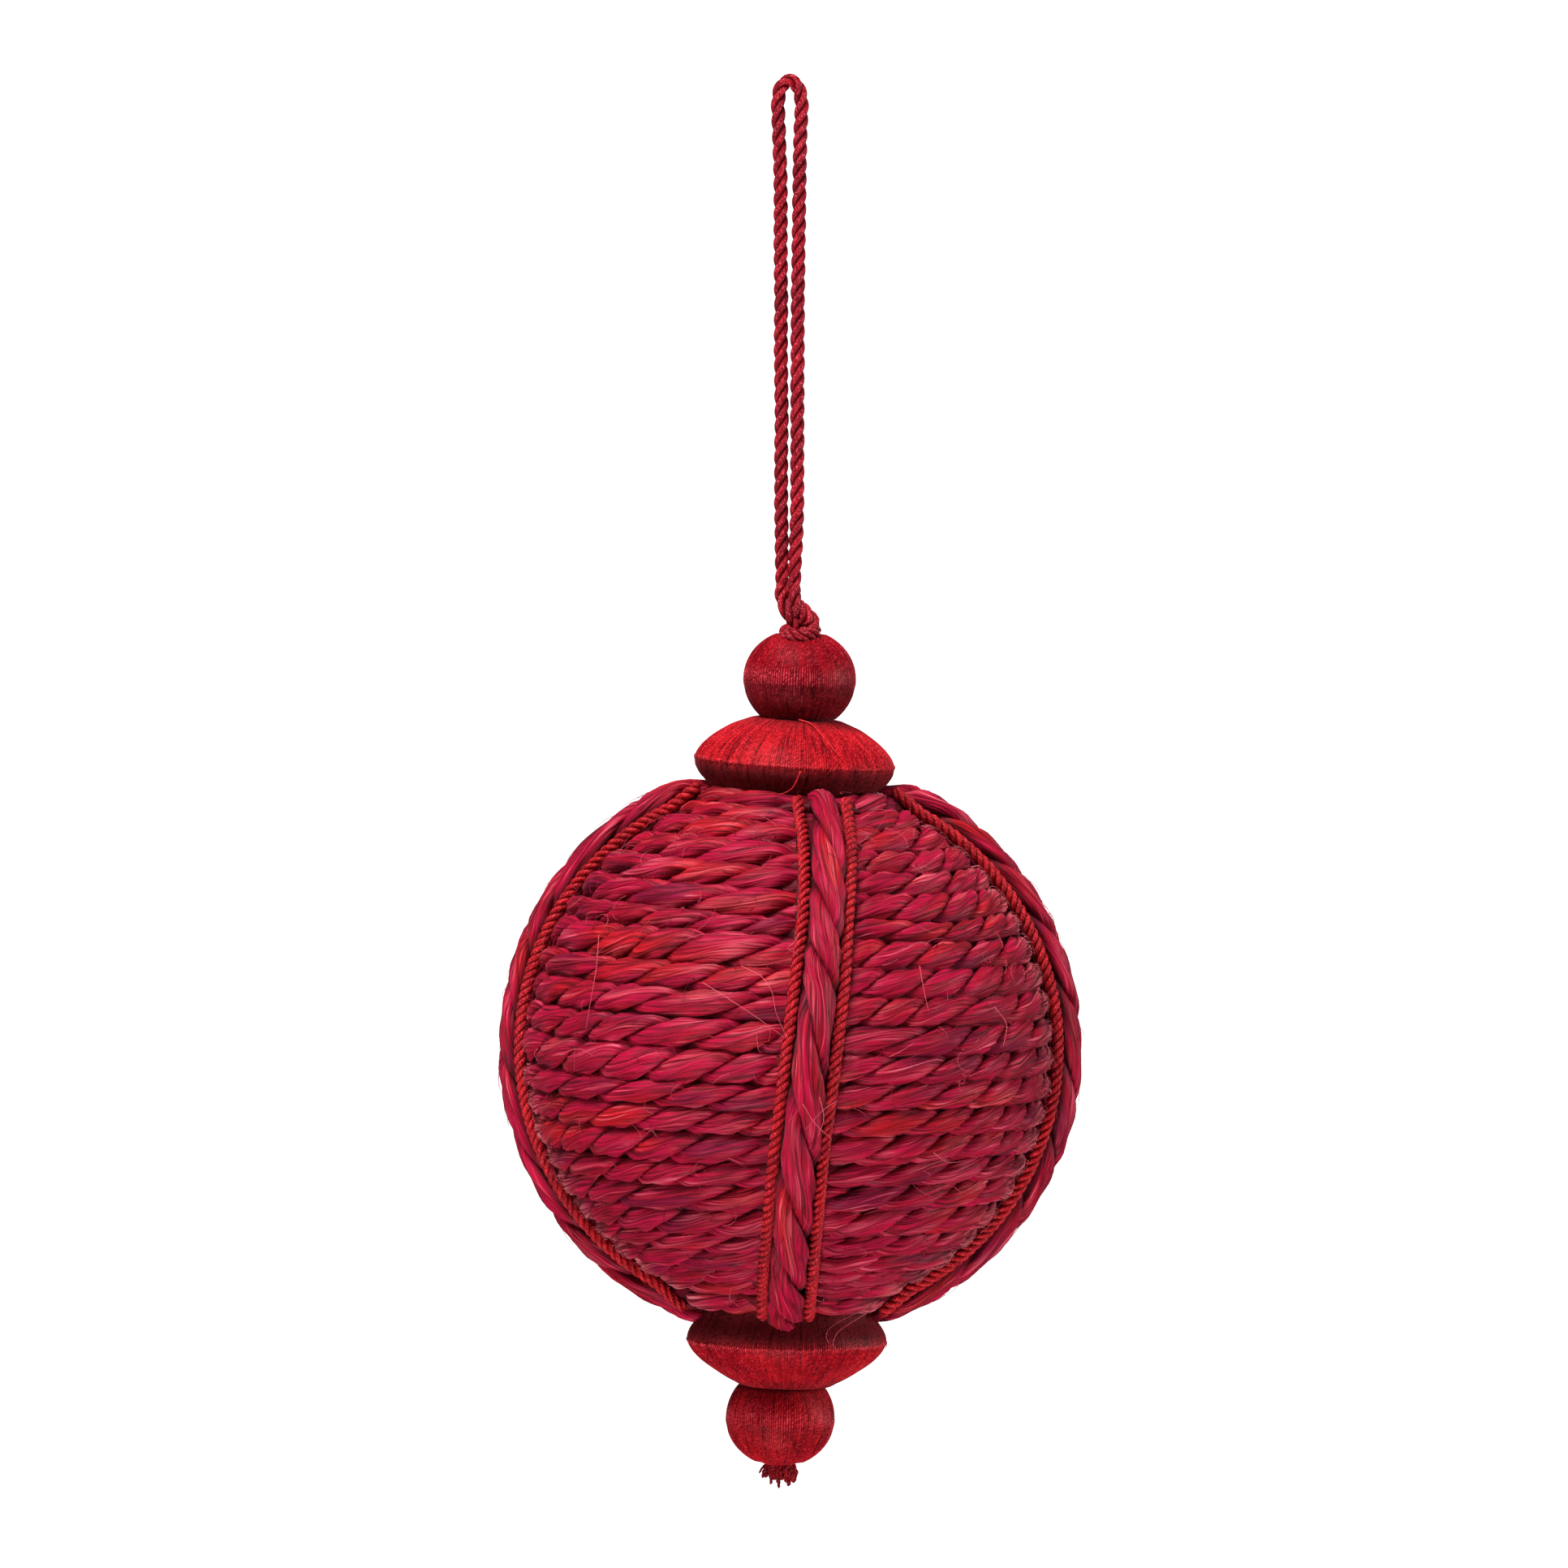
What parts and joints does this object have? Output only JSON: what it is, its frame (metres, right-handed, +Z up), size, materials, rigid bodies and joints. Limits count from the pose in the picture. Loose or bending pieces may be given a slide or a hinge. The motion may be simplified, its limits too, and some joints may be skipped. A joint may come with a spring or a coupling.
{
  "type": "hanging jute ball ornament",
  "caption": "Hanging ball ornament wound with rows of red jute rope, with thread-wrapped beads and discs above and below and a long cord loop.",
  "frame": {"origin": "inside of the top of the cord loop, where the ornament hangs", "axes": "+Z up, the front with the front rope faces -Y, +X to the right as seen from the front"},
  "size_m": [0.1144, 0.1145, 0.2798],
  "materials": {
    "jute_rows": "matte twisted jute fibre, crimson with magenta and orange-red strands",
    "jute_rope": "matte twisted jute fibre, crimson",
    "wrapped_thread": "satin thread, wrapped from end to end",
    "hanging_cord": "satin twisted cord of three strands",
    "trim_cord": "satin twisted cord of three strands"
  },
  "bodies": {
    "root": {"hanging_loop": "hanging_cord", "hanging_knot": "hanging_cord", "top_bead": "wrapped_thread", "top_disc": "wrapped_thread", "jute_ball": "jute_rows", "bottom_disc": "wrapped_thread", "bottom_bead": "wrapped_thread", "frayed_end": "hanging_cord", "meridian_rope_front": "jute_rope", "meridian_rope_right": "jute_rope", "meridian_rope_back": "jute_rope", "meridian_rope_left": "jute_rope", "trim_cord_front_a": "trim_cord", "trim_cord_front_b": "trim_cord", "trim_cord_right_a": "trim_cord", "trim_cord_right_b": "trim_cord", "trim_cord_back_a": "trim_cord", "trim_cord_back_b": "trim_cord", "trim_cord_left_a": "trim_cord", "trim_cord_left_b": "trim_cord"}
  },
  "joints": []
}
